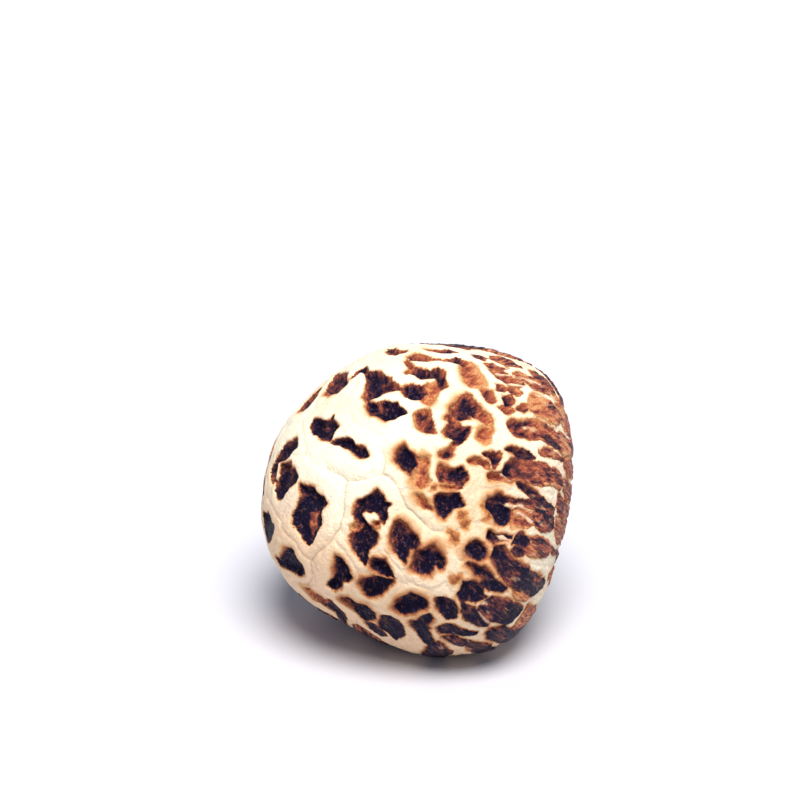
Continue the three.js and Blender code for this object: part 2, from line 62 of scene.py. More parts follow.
# Skin patches seen in that view: tone (0 black, 0.5 red-brown, 1 orange), width of the stain, then outline
DRAWN_PATCHES = [
    (0.35, 0.3, [322, 385, 318, 386, 311, 392, 304, 400, 298, 411, 305, 409, 312, 402, 318, 394]),
    (0.42, 0.3, [345, 372, 332, 376, 328, 384, 324, 394, 331, 394, 338, 391, 345, 385, 347, 381]),
    (0.35, 0.2, [350, 379, 357, 370, 365, 366, 366, 371, 360, 372, 352, 378]),
    (0.34, 0.3, [365, 366, 368, 371, 380, 372, 391, 380, 393, 384, 399, 386, 399, 389, 390, 390, 384, 392,
        377, 395, 370, 398, 366, 401, 364, 397, 367, 390, 367, 380, 364, 373]),
    (0.18, 0.3, [366, 403, 371, 402, 378, 403, 384, 400, 396, 401, 398, 406, 407, 411, 395, 416, 385, 419,
        378, 416, 370, 414, 366, 408]),
    (0.14, 0.3, [313, 419, 320, 418, 325, 420, 333, 416, 332, 421, 337, 427, 333, 433, 331, 439, 327, 440,
        320, 437, 313, 434, 310, 426]),
    (0.14, 0.3, [331, 442, 338, 439, 345, 438, 352, 441, 360, 446, 367, 451, 368, 456, 362, 458, 357, 455,
        350, 451, 342, 447, 336, 445]),
    (0.15, 0.2, [296, 439, 298, 446, 292, 450, 287, 457, 280, 461, 276, 466, 272, 474, 270, 473, 273, 463,
        279, 453, 285, 445, 291, 441]),
    (0.20, 0.3, [281, 464, 290, 463, 293, 468, 298, 476, 297, 482, 291, 485, 287, 491, 281, 499, 278, 498,
        275, 490, 277, 482, 280, 476, 280, 470]),
    (0.40, 0.2, [274, 463, 278, 460, 277, 470, 276, 480, 274, 485, 270, 478, 271, 470]),
    (0.05, 0.35, [301, 485, 307, 487, 314, 491, 321, 497, 325, 503, 322, 510, 320, 518, 318, 528, 315,
        536, 312, 542, 309, 545, 305, 540, 300, 533, 294, 525, 292, 518, 296, 509, 299, 501,
        304, 495, 302, 490]),
    (0.15, 0.2, [263, 508, 268, 512, 272, 520, 275, 527, 273, 535, 271, 541, 266, 537, 264, 528, 264,
        518]),
    (0.40, 0.2, [384, 351, 392, 350, 402, 351, 409, 350, 406, 353, 396, 356, 388, 354]),
    (0.45, 0.2, [409, 358, 417, 354, 427, 355, 431, 359, 445, 359, 456, 357, 463, 359, 468, 363, 460, 363,
        450, 361, 440, 360, 425, 361, 413, 361]),
    (0.50, 0.2, [425, 350, 432, 350, 445, 350, 453, 350, 458, 352, 450, 353, 441, 353, 430, 351]),
    (0.40, 0.3, [405, 362, 409, 361, 411, 366, 416, 368, 425, 369, 431, 370, 437, 367, 443, 370, 445, 378,
        446, 385, 442, 388, 439, 385, 437, 378, 430, 378, 421, 378, 412, 375, 407, 373, 409,
        369]),
    (0.28, 0.3, [401, 387, 406, 384, 413, 383, 420, 385, 427, 384, 428, 390, 424, 395, 420, 398, 413, 399,
        406, 396, 403, 391]),
    (0.85, 0.3, [428, 383, 437, 383, 441, 388, 437, 396, 431, 405, 425, 401, 421, 397, 428, 392]),
    (0.55, 0.3, [420, 410, 429, 410, 431, 417, 433, 424, 436, 433, 430, 432, 423, 430, 417, 427, 415, 421,
        416, 414]),
    (0.38, 0.5, [465, 394, 471, 396, 475, 401, 478, 408, 481, 410, 477, 414, 470, 414, 468, 419, 461, 420,
        456, 417, 451, 413, 452, 408, 457, 404, 460, 398]),
    (0.42, 0.5, [447, 419, 452, 415, 456, 418, 459, 424, 464, 428, 469, 428, 467, 436, 463, 441, 458, 445,
        455, 449, 452, 455, 447, 459, 441, 457, 440, 453, 447, 450, 453, 447, 457, 441, 452, 439,
        446, 436, 443, 432, 447, 428, 450, 424]),
    (0.62, 0.4, [472, 415, 478, 412, 484, 412, 489, 417, 491, 424, 487, 424, 480, 421, 474, 418]),
    (0.75, 0.4, [477, 430, 482, 427, 490, 425, 494, 431, 490, 437, 487, 443, 481, 440, 477, 436]),
    (0.90, 0.3, [461, 360, 470, 361, 477, 366, 481, 373, 485, 380, 485, 386, 478, 388, 470, 387, 466, 382,
        463, 374, 461, 367]),
    (0.58, 0.3, [481, 390, 491, 391, 493, 398, 496, 402, 492, 404, 487, 402, 484, 396]),
    (0.42, 0.2, [473, 353, 480, 354, 487, 357, 484, 359, 477, 357]),
    (0.45, 0.2, [491, 355, 500, 357, 508, 361, 514, 366, 521, 369, 508, 366, 500, 362, 493, 359]),
    (0.48, 0.2, [486, 362, 493, 362, 496, 366, 508, 368, 500, 370, 490, 367]),
    (0.48, 0.2, [492, 370, 502, 372, 508, 376, 514, 380, 520, 382, 523, 385, 517, 388, 509, 386, 503, 381,
        498, 377, 494, 373]),
    (0.55, 0.2, [512, 374, 520, 373, 528, 378, 538, 384, 546, 391, 551, 397, 543, 393, 534, 389, 526, 384,
        518, 379]),
    (0.35, 0.2, [530, 372, 540, 378, 548, 387, 554, 396, 549, 392, 541, 385, 533, 378]),
    (0.45, 0.2, [497, 385, 502, 386, 505, 389, 503, 391, 497, 390]),
    (0.50, 0.2, [507, 388, 511, 389, 517, 390, 521, 394, 516, 396, 511, 393]),
    (0.38, 0.2, [503, 398, 511, 396, 515, 401, 512, 406, 505, 408]),
    (0.50, 0.2, [500, 409, 506, 406, 511, 409, 515, 412, 507, 415, 501, 412]),
    (0.50, 0.3, [518, 409, 522, 404, 527, 406, 528, 410, 524, 413, 518, 411]),
    (0.74, 0.3, [529, 398, 537, 397, 545, 401, 551, 406, 556, 411, 560, 416, 558, 424, 551, 427, 546, 420,
        538, 417, 531, 411, 529, 404]),
    (0.46, 0.3, [508, 424, 514, 421, 522, 423, 532, 421, 540, 425, 548, 429, 556, 435, 563, 436, 568, 440,
        571, 446, 570, 455, 563, 455, 556, 448, 549, 444, 541, 440, 532, 440, 521, 437, 514, 434,
        510, 429]),
    (0.18, 0.3, [505, 449, 512, 448, 520, 450, 529, 453, 535, 457, 532, 460, 524, 458, 517, 455, 510,
        452]),
    (0.52, 0.4, [469, 460, 475, 457, 482, 459, 487, 463, 489, 469, 485, 468, 482, 464, 476, 463, 470,
        462]),
    (0.32, 0.3, [484, 452, 492, 453, 500, 453, 502, 457, 499, 463, 495, 468, 492, 463, 489, 457]),
    (0.52, 0.3, [488, 475, 493, 472, 500, 474, 504, 471, 508, 464, 511, 461, 518, 458, 527, 461, 536, 462,
        545, 465, 553, 471, 560, 476, 562, 482, 560, 490, 556, 487, 550, 484, 542, 485, 533, 482,
        526, 479, 518, 478, 511, 482, 503, 481, 495, 481, 489, 480]),
    (0.48, 0.2, [538, 451, 546, 449, 556, 455, 562, 461, 555, 458, 547, 455, 540, 454]),
    (0.20, 0.3, [518, 483, 525, 483, 532, 487, 535, 491, 541, 497, 549, 504, 555, 511, 553, 515, 546, 510,
        540, 505, 534, 500, 528, 493, 521, 488]),
    (0.08, 0.8, [490, 498, 502, 496, 509, 500, 509, 505, 510, 513, 510, 520, 503, 525, 496, 521, 491, 514,
        488, 506]),
    (0.20, 0.3, [511, 499, 522, 501, 533, 502, 541, 507, 535, 508, 526, 506, 515, 506]),
    (0.72, 0.3, [512, 510, 517, 508, 525, 509, 531, 513, 528, 518, 533, 524, 527, 528, 519, 526, 512,
        526]),
    (0.36, 0.3, [534, 512, 541, 509, 548, 513, 553, 519, 554, 528, 549, 532, 542, 531, 536, 526, 532,
        519]),
    (0.10, 0.6, [491, 531, 497, 534, 505, 535, 511, 536, 508, 539, 499, 538, 494, 543, 489, 539]),
    (0.18, 0.3, [513, 541, 516, 536, 522, 533, 527, 537, 529, 545, 524, 547, 519, 544, 512, 544]),
    (0.20, 0.3, [511, 550, 517, 547, 522, 547, 525, 551, 521, 555, 514, 554]),
    (0.50, 0.3, [527, 547, 531, 544, 540, 543, 546, 546, 550, 552, 546, 557, 538, 556, 530, 556, 526,
        552]),
    (0.38, 0.2, [530, 538, 540, 539, 549, 544, 556, 552, 556, 558, 552, 553, 546, 546]),
    (0.05, 1.0, [466, 550, 470, 546, 476, 542, 482, 544, 485, 549, 486, 556, 481, 560, 474, 558, 468,
        554]),
    (0.10, 0.3, [354, 509, 357, 503, 364, 499, 370, 496, 375, 491, 379, 495, 384, 498, 386, 502, 390, 504,
        387, 510, 386, 517, 383, 524, 380, 521, 381, 514, 375, 511, 366, 511, 361, 513, 361, 519,
        365, 524, 360, 525, 355, 522, 353, 515]),
    (0.10, 0.5, [351, 534, 358, 531, 364, 528, 370, 529, 376, 533, 377, 539, 372, 545, 367, 550, 367, 558,
        365, 565, 360, 560, 355, 552, 351, 543]),
    (0.05, 0.5, [396, 455, 400, 449, 404, 446, 409, 450, 414, 455, 418, 459, 417, 466, 412, 471, 410, 474,
        405, 469, 400, 464, 396, 460]),
    (0.80, 0.5, [419, 458, 423, 456, 429, 457, 428, 464, 427, 471, 430, 480, 427, 486, 422, 488, 416, 485,
        412, 480, 415, 475, 419, 471]),
    (0.30, 0.6, [441, 466, 448, 469, 455, 471, 462, 467, 465, 471, 466, 478, 466, 485, 461, 486, 455, 482,
        447, 481, 439, 481, 438, 474]),
    (0.75, 0.4, [439, 485, 448, 484, 457, 486, 464, 488, 458, 490, 448, 489]),
    (0.03, 0.8, [436, 497, 441, 494, 450, 494, 457, 495, 462, 499, 463, 504, 460, 508, 455, 508, 450, 513,
        445, 516, 440, 513, 437, 507]),
    (0.60, 0.4, [417, 495, 422, 495, 427, 500, 430, 506, 432, 510, 426, 508, 420, 503]),
    (0.14, 1.1, [417, 552, 424, 550, 432, 549, 439, 553, 443, 558, 446, 564, 443, 569, 438, 568, 434, 564,
        432, 570, 430, 574, 423, 574, 416, 571, 412, 567, 416, 562]),
    (0.22, 0.8, [394, 524, 399, 523, 405, 527, 411, 533, 416, 537, 419, 543, 415, 549, 409, 549, 408, 556,
        404, 562, 399, 558, 395, 551, 393, 543, 391, 535]),
    (0.10, 0.8, [371, 563, 376, 560, 382, 560, 386, 566, 390, 572, 393, 578, 387, 576, 379, 572, 372,
        568]),
    (0.14, 1.0, [361, 586, 366, 580, 375, 578, 384, 579, 392, 582, 386, 588, 382, 593, 378, 596, 370, 597,
        363, 592]),
    (0.14, 1.1, [395, 607, 398, 602, 405, 597, 412, 595, 418, 598, 425, 601, 427, 606, 424, 609, 418, 610,
        412, 613, 405, 614, 399, 611]),
    (0.10, 0.8, [438, 601, 444, 599, 450, 601, 455, 607, 457, 613, 455, 619, 449, 619, 443, 614, 439,
        608]),
    (0.10, 0.6, [383, 617, 390, 617, 397, 620, 401, 626, 405, 632, 402, 637, 396, 639, 389, 633, 382, 629,
        379, 624]),
    (0.10, 0.5, [411, 622, 418, 621, 424, 617, 429, 615, 431, 619, 427, 625, 428, 632, 432, 640, 430, 645,
        425, 641, 420, 635, 415, 628]),
    (0.15, 0.4, [437, 628, 445, 625, 454, 627, 463, 630, 475, 632, 470, 635, 460, 634, 450, 633, 441,
        633]),
    (0.15, 0.4, [443, 637, 452, 636, 461, 638, 470, 640, 462, 644, 452, 642]),
    (0.05, 0.4, [424, 652, 430, 643, 438, 642, 446, 647, 452, 653, 444, 656, 432, 656]),
    (0.06, 0.6, [495, 548, 503, 546, 507, 552, 511, 558, 517, 562, 524, 568, 531, 572, 538, 576, 544, 580,
        542, 587, 537, 592, 531, 596, 524, 592, 517, 588, 510, 583, 505, 578, 500, 572, 495, 565,
        491, 557]),
    (0.06, 0.8, [468, 566, 474, 566, 482, 569, 490, 574, 496, 580, 502, 585, 507, 588, 503, 590, 495, 590,
        487, 588, 481, 584, 485, 580, 481, 576, 473, 571]),
    (0.06, 0.7, [464, 584, 471, 582, 478, 584, 482, 589, 482, 594, 486, 598, 478, 600, 470, 599, 463, 601,
        459, 596, 463, 591]),
    (0.05, 0.4, [487, 602, 492, 598, 500, 600, 509, 602, 517, 605, 521, 609, 517, 614, 512, 620, 506, 624,
        502, 621, 494, 620, 488, 621, 483, 616, 480, 611, 484, 606]),
    (0.05, 0.4, [463, 603, 468, 606, 475, 608, 478, 614, 483, 620, 487, 625, 480, 626, 472, 622, 465, 620,
        462, 612]),
    (0.08, 0.4, [490, 628, 500, 626, 510, 628, 518, 634, 520, 640, 512, 643, 503, 641, 494, 640, 487,
        634]),
    (0.48, 0.3, [527, 606, 534, 608, 536, 613, 531, 620, 528, 630, 523, 638, 517, 633, 513, 626, 518, 620,
        523, 613]),
    (0.06, 0.4, [466, 643, 475, 641, 484, 643, 490, 648, 480, 651, 470, 649]),
    (0.80, 0.4, [514, 592, 521, 593, 527, 598, 525, 601, 520, 599, 515, 596]),
    (0.05, 0.5, [287, 548, 293, 550, 297, 557, 302, 564, 304, 573, 300, 576, 294, 573, 288, 568, 283, 564,
        281, 558, 285, 554]),
    (0.10, 0.4, [275, 556, 280, 559, 284, 565, 279, 563]),
    (0.07, 0.6, [336, 557, 341, 559, 345, 567, 350, 574, 353, 578, 350, 581, 342, 581, 340, 588, 335, 589,
        329, 584, 332, 579, 336, 573, 335, 565]),
    (0.22, 0.9, [343, 598, 350, 599, 358, 604, 366, 607, 372, 612, 374, 618, 369, 621, 364, 620, 359, 615,
        353, 608]),
    (0.12, 0.4, [366, 623, 374, 625, 382, 630, 387, 636, 380, 634, 372, 629]),
    (0.12, 0.5, [330, 599, 335, 605, 341, 612, 347, 620, 350, 625, 343, 620, 336, 613, 328, 607, 320, 602,
        326, 604]),
    (0.15, 0.3, [299, 592, 303, 597, 306, 601, 300, 597]),
    (0.78, 0.6, [304, 588, 312, 590, 322, 597, 330, 603, 322, 603, 312, 598]),
    (0.50, 0.2, [564, 459, 569, 461, 571, 472, 567, 475, 563, 467]),
    (0.52, 0.2, [564, 480, 571, 484, 571, 499, 566, 498, 563, 489]),
    (0.40, 0.2, [558, 494, 563, 501, 569, 504, 568, 519, 561, 516, 557, 506]),
    (0.50, 0.2, [557, 519, 563, 521, 566, 526, 564, 541, 558, 542, 556, 531]),
    (0.45, 0.2, [557, 560, 560, 549, 562, 550, 560, 562]),
    (0.55, 0.2, [548, 578, 553, 566, 556, 567, 551, 583]),
    (0.60, 0.2, [552, 396, 558, 402, 564, 412, 570, 428, 571, 438, 565, 430, 560, 419, 555, 407]),
    (0.12, 0.3, [355, 516, 362, 519, 370, 526, 373, 533, 364, 532, 358, 524]),
    (0.85, 0.3, [349, 527, 354, 524, 361, 527, 356, 532, 350, 531]),
    (0.85, 0.3, [373, 523, 380, 521, 379, 528, 374, 528]),
]

# Lighter and darker places inside those patches: tone, then outline
DRAWN_SPOTS = [
    (1.20, [305, 512, 315, 511, 313, 524, 310, 541, 305, 531]),
    (0.78, [526, 425, 538, 425, 540, 435, 528, 433]),
    (0.00, [541, 434, 550, 438, 554, 447, 545, 444]),
    (0.74, [557, 440, 569, 447, 568, 461, 558, 455]),
    (0.00, [504, 464, 514, 463, 514, 475, 505, 477]),
    (0.74, [517, 465, 527, 464, 531, 473, 520, 475]),
    (0.70, [551, 413, 557, 416, 556, 422, 551, 424]),
    (0.62, [384, 385, 392, 385, 390, 390, 384, 391]),
    (0.62, [376, 402, 386, 403, 384, 409, 377, 409]),
    (0.60, [319, 422, 325, 421, 325, 428, 320, 428]),
    (0.60, [531, 575, 540, 577, 541, 585, 533, 586]),
    (0.66, [460, 482, 465, 475, 465, 484, 461, 486]),
    (0.62, [455, 505, 461, 503, 457, 508, 452, 510]),
    (0.05, [546, 405, 553, 408, 555, 415, 548, 414]),
    (0.70, [281, 467, 287, 466, 288, 473, 282, 474]),
    (0.60, [437, 361, 445, 358, 446, 364, 438, 365]),
]

# Orange-brown smudges on the flesh: the pixel at the middle of each, and its radius
SMUDGES = [
    ([462, 515], 1.1),
    ([467, 523], 1.0),
    ([453, 538], 1.3),
    ([468, 546], 0.9),
    ([487, 507], 1.3),
    ([486, 518], 0.9),
    ([456, 580], 1.2),
    ([490, 479], 0.9),
    ([492, 533], 0.9),
    ([433, 487], 0.7),
]

# Seams in the flesh, as pixels of that view
SEAMS = [
    [326, 468, 335, 472, 342, 476, 347, 480],
    [347, 480, 357, 480, 368, 478, 375, 475, 383, 474, 388, 476, 395, 483, 400, 492, 406, 508, 414, 513, 420,
     520, 428, 528, 434, 531, 447, 530],
    [346, 482, 344, 495, 343, 507, 342, 517, 338, 530, 333, 538, 328, 545, 318, 552, 312, 562, 314, 578, 308,
     583],
    [383, 474, 385, 462, 383, 450],
]

# Pale cracks across the plates, as pixels of that view
CRACKS = [
    [495, 364, 504, 367, 513, 371],
    [497, 374, 508, 376, 520, 378, 531, 384],
    [502, 384, 514, 385, 526, 388, 536, 392, 545, 398],
    [524, 380, 536, 385, 546, 393, 556, 404],
    [533, 396, 541, 398, 549, 402],
    [551, 405, 557, 410, 563, 417],
    [533, 417, 548, 425, 563, 432, 570, 441],
    [524, 427, 529, 427, 534, 430],
    [498, 471, 503, 465, 508, 459],
    [502, 474, 510, 481],
    [508, 505, 520, 506, 532, 511],
    [518, 513, 526, 516, 532, 521],
    [490, 528, 506, 527, 521, 529, 537, 534, 552, 542],
    [497, 535, 511, 541],
    [480, 603, 488, 605],
    [480, 613, 484, 619, 489, 623, 503, 623],
    [494, 645, 503, 642, 512, 640],
]

# Skin patches on the rest of the cap: cells round seeded sites, with the cracks left open between them
PLATE_ANGLE = math.radians(72)
SKIN_END = math.radians(122)
WILD_SITES = 150
WILD_SEED = 11
DRAWN_LIMIT = math.cos(math.radians(60))
DRAWN_CLEARANCE = math.cos(2.8 / CAP_RADIUS)
CELL_REACH = 6.4
CELL_STRETCH = 1.5
CRACK_AT_CROWN = 1.0
CRACK_AT_MARGIN = 0.42

# Spacing of the cap's points, on its skin and under it
CAP_STEP = 0.3
UNDER_STEP = 0.55

# Relief of the cap, in millimetres
PIT_DEPTH = 1.1
PLATE_RISE = 0.35
RIM_RISE = 0.08
FLESH_RISE = 0.3
FOLD_DEPTH = 0.28
SEAM_DEPTH = 0.22
SEAM_HOLLOW = 0.18
BROAD_BUMP = 0.25
WRINKLE = 0.42
WAVE = 0.35
CRACK_HALF = 0.18

# Reach of every field on the cap, and how patches and spots share the tone where they meet, in millimetres
FAR = 4.0
BLEND = 0.35
DEEPEST = 0.25
SPOT_EDGE = 0.4
SPOT_PULL = 0.8

# Gills: long and short blades by turns, each with its start from the axis and its depth
GILL_COUNT = 216
GILL_STEPS = 15
GILL_REACH = 18.2
GILL_TOP = -5.6
GILL_DROP = 0.9
GILL_HALF = 0.11
LONG_GILL = (4.3, 5.3)
SHORT_GILL = (7.5, 3.6)
SHORT_SPREAD = 6
# Painted shade on each blade's three rows, from next to the flesh to the free edge
GILL_SHADE = [0.75, 0.3, 0.0]

# Stem, as in the solid
STEM_TOP = -6.0
STEM_END = -28.6
STEM_RADIUS = 5.1
STEM_FLARE = 1.5
STEM_BEND = 6.6
STEM_RIDGES = 5
STEM_RIDGE_DEPTH = 0.35

# What the solid's stem lacks: furrows, a worn lower end and a slight sway
STEM_RINGS = 90
STEM_SIDES = 150
FURROW_DEPTH = 0.45
STEM_WEAR = 1.1
STEM_SWAY = 0.7

# Colours of the flesh
FRESH_FLESH = (0.92, 0.85, 0.67)
# Painted shade on the low left side and under the cap
SHADED_FLESH = (0.84, 0.60, 0.40)
# Yellow-tan tint, partly painted shade
YELLOW_SHADE_FLESH = (0.66, 0.49, 0.30)
CLOUDED_FLESH = (0.76, 0.55, 0.33)
CRACK_FLESH = (0.84, 0.58, 0.40)
WORN_FLESH = (0.52, 0.24, 0.10)
SEAM_SHADE = (0.50, 0.38, 0.24)
ORANGE_STAIN = (0.62, 0.33, 0.13)
DOT = (0.10, 0.05, 0.03)

# Stain from its outer end to the skin's edge, and smudge from its edge to its middle
STAIN_TONES = [
    (0.0, (0.90, 0.82, 0.62)),
    (0.22, (0.84, 0.61, 0.37)),
    (0.50, (0.62, 0.31, 0.135)),
    (0.78, (0.33, 0.105, 0.042)),
    (1.0, (0.08, 0.025, 0.02)),
]
SMUDGE_TONES = [
    (0.0, (0.86, 0.62, 0.36)),
    (0.35, (0.66, 0.33, 0.13)),
    (0.70, (0.42, 0.15, 0.05)),
    (1.0, (0.22, 0.07, 0.03)),
]

# Colours of the skin, from black through red-brown to orange
SKIN_TONES = [
    (0.0, (0.006, 0.003, 0.018)),
    (0.16, (0.010, 0.004, 0.020)),
    (0.32, (0.075, 0.026, 0.032)),
    (0.48, (0.24, 0.060, 0.045)),
    (0.66, (0.45, 0.120, 0.062)),
    (0.84, (0.64, 0.235, 0.09)),
    (1.0, (0.76, 0.38, 0.17)),
]
FLAKE = (0.17, 0.065, 0.045)
GLINT = (0.055, 0.045, 0.11)
SPLIT = (0.66, 0.40, 0.25)

# Dark and light colours of the margin, the gills and the stem
FRINGE_TONES = ((0.16, 0.07, 0.035), (0.42, 0.25, 0.13))
LIP_TONES = ((0.40, 0.24, 0.11), (0.66, 0.47, 0.27))
LIP_STREAK = (0.26, 0.14, 0.07)
GILL_TONES = ((0.48, 0.31, 0.14), (0.78, 0.60, 0.36))
STEM_TONES = ((0.30, 0.17, 0.08), (0.70, 0.54, 0.34))

# How far light scatters in dry flesh, in metres, and the height of the grain on every finish
SCATTER = (0.0012, 0.0007, 0.0004)
GRAIN_HEIGHT = 0.0003

# Studio: a soft sun over pale floor and sky
FLOOR_COLOUR = (0.64, 0.65, 0.72)
SKY_COLOUR = (0.80, 0.86, 1.0)
SKY_STRENGTH = 0.34
SUN_COLOUR = (1.0, 0.96, 0.90)
SUN_STRENGTH = 4.7
SUN_LIFT = math.radians(66)
SUN_TURN = math.radians(12)
SUN_SPREAD = math.radians(32)


def smooth(low, high, value):
    """From 0 where value is low to 1 where it is high, with soft ends."""
    share = np.clip((value - low) / (high - low), 0, 1)
    return share * share * (3 - 2 * share)


def unit(vectors):
    return vectors / np.linalg.norm(vectors, axis=-1, keepdims=True)


def noise(points, size, seed):
    """Smooth noise from -1 to 1 with bumps about size across."""
    place = points / size + 17.3 * seed
    cell = np.floor(place).astype(np.int64)
    t = place - cell
    t = t * t * t * (t * (6 * t - 15) + 10)
    total = np.zeros(len(points))
    for corner in np.ndindex(2, 2, 2):
        key = (cell + corner) @ np.array([73856093, 19349663, 83492791]) + 7919 * seed
        key = (key ^ (key >> 13)) * 1274126177 & 0xFFFFFFFF
        value = ((key ^ (key >> 16)) & 0xFFFF) / 32767.5 - 1
        total += value * np.prod(np.where(corner, t, 1 - t), axis=1)
    return total


def rough(points, size, seed, octaves=3):
    """Noise with finer noise on it."""
    return sum(noise(points, size / 2**k, seed + k) / 2**k for k in range(octaves))


# The lying frame: the axis runs up to the crown, and the rest side faces the floor
AXIS = np.array([
    -math.sin(CROWN_TURN) * math.cos(CROWN_LIFT),
    -math.cos(CROWN_TURN) * math.cos(CROWN_LIFT),
    math.sin(CROWN_LIFT),
])
REST_SIDE = unit(AXIS * math.sin(CROWN_LIFT) + np.array([0, 0, -1]))
FLANK = np.cross(AXIS, REST_SIDE)
LYING = np.array([REST_SIDE, FLANK, AXIS])

VIEW_RIGHT = np.array([1.0, 0, 0])
VIEW_UP = np.array([0, math.sin(VIEW_LIFT), math.cos(VIEW_LIFT)])
VIEW_BACK = np.array([0, -math.cos(VIEW_LIFT), math.sin(VIEW_LIFT)])

# The side where painted shade turns the flesh tan and darkens the skin: low and to the left
SHADED_SIDE = -0.5 * VIEW_RIGHT - 0.85 * VIEW_UP

# The middle of the yellow-tan flesh between pits and plates, partly painted shade, and how far it spreads, in
# radians
YELLOW_SHADE_PIXEL = [472, 515]
YELLOW_SHADE_SPREAD = 0.45


def view_point(across, down):
    """The point under a pixel, on the plane through the cap's centre that faces the camera."""
    right = (across - CENTRE_PIXEL[0]) * PIXEL
    up = (CENTRE_PIXEL[1] - down) * PIXEL
    return np.multiply.outer(right, VIEW_RIGHT) + np.multiply.outer(up, VIEW_UP)


EYE = view_point(PICTURE / 2, PICTURE / 2) + VIEW_BACK * VIEW_DISTANCE


def cap_radius(angle):
    """Radius of the cap before it swells, at an angle from the crown."""
    crown = CAP_RADIUS + (CROWN_HEIGHT - CAP_RADIUS) * np.cos(angle) ** 2
    tuck = MARGIN_TUCK * ((angle - TAU / 4) / (MARGIN_ANGLE - TAU / 4)) ** 2
    return np.where(angle <= TAU / 4, crown, CAP_RADIUS - tuck)


def swell(directions):
    """How far the cap swells towards lying directions, so that its outline in the view is OUTLINE."""
    across = directions @ VIEW_RIGHT
    up = directions @ VIEW_UP
    count = len(OUTLINE)
    place = (np.arctan2(up, across) / TAU) % 1 * count
    first = np.floor(place).astype(int)
    t = place - first
    a, b, c, d = (np.array(OUTLINE)[(first + k) % count] for k in (-1, 0, 1, 2))
    radius = b + 0.5 * t * (c - a + t * (2 * a - 5 * b + 4 * c - d + t * (3 * (b - c) + d - a)))
    return 1 + (radius / CAP_RADIUS - 1) * (across**2 + up**2)


def lay_down(points):
    """Upright points, lain down and swollen, with whatever would reach below the floor flat on it."""
    lying = points @ LYING
    lying = lying * swell(unit(lying))[:, None] + CAP_CENTRE
    lying[:, 2] = np.maximum(lying[:, 2], 0)
    return lying


def pixel_directions(pixels):
    """Upright directions from the cap's centre to where the eye's lines through some pixels meet the cap."""
    across, down = np.array(pixels, float).reshape(-1, 2).T
    rays = unit(view_point(across, down) - EYE)
    near = np.full(len(rays), VIEW_DISTANCE - 2 * CAP_RADIUS)
    far = -(rays @ EYE)
    for _ in range(30):
        middle = (near + far) / 2
        point = EYE + rays * middle[:, None]
        direction = unit(point)
        angle = np.arccos(direction @ AXIS)
        outside = np.linalg.norm(point, axis=1) > cap_radius(angle) * swell(direction)
        near = np.where(outside, middle, near)
        far = np.where(outside, far, middle)
    return unit(EYE + rays * far[:, None]) @ LYING.T


def tangents(direction):
    """Two directions square to a direction: down the cap from the crown, and round it."""
    around = unit(np.cross([0, 0, 1], direction))
    return np.cross(around, direction), around


def random_source(seed):
    state = seed
    while True:
        state = state * 16807 % 2147483647
        yield state / 2147483647


def clip(outline, normal, reach):
    """The part of a flat outline within reach of the origin along normal."""
    kept = []
    for a, b in zip(outline, outline[1:] + outline[:1]):
        da, db = a @ normal - reach, b @ normal - reach
        if da <= 0:
            kept.append(a)
        if da * db < 0:
            kept.append(a + (b - a) * da / (da - db))
    return kept


def wild_patches(drawn):
    """Cells on the hidden part of the cap, clear of the drawn patches and of each other."""
    draw = random_source(WILD_SEED)
    eye = LYING @ unit(EYE)
    corners = np.vstack(drawn)
    sites = []
    for i in range(WILD_SITES):
        height = 1 - (i + 0.2 + 0.6 * next(draw)) / WILD_SITES * (1 - math.cos(SKIN_END))
        turn = i * math.pi * (3 - math.sqrt(5)) + 0.5 * next(draw)
        span = math.sqrt(1 - height * height)
        site = np.array([span * math.cos(turn), span * math.sin(turn), height])
        if site @ eye < DRAWN_LIMIT and (corners @ site).max() < DRAWN_CLEARANCE:
            sites.append(site)
    marks = np.vstack([sites, corners])
    cells = []
    for site in sites:
        down, around = tangents(site)
        low = min(1, math.acos(site[2]) / (TAU / 4))
        stretch = 1 + (CELL_STRETCH - 1) * low
        crack = CRACK_AT_CROWN + (CRACK_AT_MARGIN - CRACK_AT_CROWN) * low
        wide = crack * (0.6 + 0.8 * next(draw))
        cell = []
        for k in range(6):
            turn = (k + next(draw)) * math.pi / 3
            cell.append(np.array([math.cos(turn), math.sin(turn)]) * CELL_REACH * (0.55 + 0.4 * next(draw)))
        for mark in marks:
            offset = np.array([mark @ down / stretch, mark @ around]) * CAP_RADIUS
            distance = np.linalg.norm(offset)
            if distance < 1e-6 or mark @ site < 0.7 or distance > 3 * CELL_REACH:
                continue
            cell = clip(cell, offset / distance, distance / 2 - wide)
        if len(cell) > 2:
            flat = np.array(cell) / CAP_RADIUS
            cells.append(unit(site + flat[:, :1] * stretch * down + flat[:, 1:] * around))
    return cells


def segment_distances(points, starts, ends):
    """Least distance from flat points to some segments."""
    least = np.full(len(points), np.inf)
    for a, b in zip(starts, ends):
        along = b - a
        t = np.clip((points - a) @ along / (along @ along), 0, 1)
        least = np.minimum(least, np.linalg.norm(points - a - t[:, None] * along, axis=1))
    return least


def inside(points, outline):
    """Which flat points lie inside an outline."""
    within = np.zeros(len(points), bool)
    for a, b in zip(outline, np.roll(outline, -1, axis=0)):
        if a[1] == b[1]:
            continue
        crosses = (a[1] > points[:, 1]) != (b[1] > points[:, 1])
        within ^= crosses & (points[:, 0] < a[0] + (points[:, 1] - a[1]) * (b[0] - a[0]) / (b[1] - a[1]))
    return within


def outline_distance(points, outline):
    """Distance from flat points to an outline, negative inside it."""
    distance = segment_distances(points, outline, np.roll(outline, -1, axis=0))
    return np.where(inside(points, outline), -distance, distance)


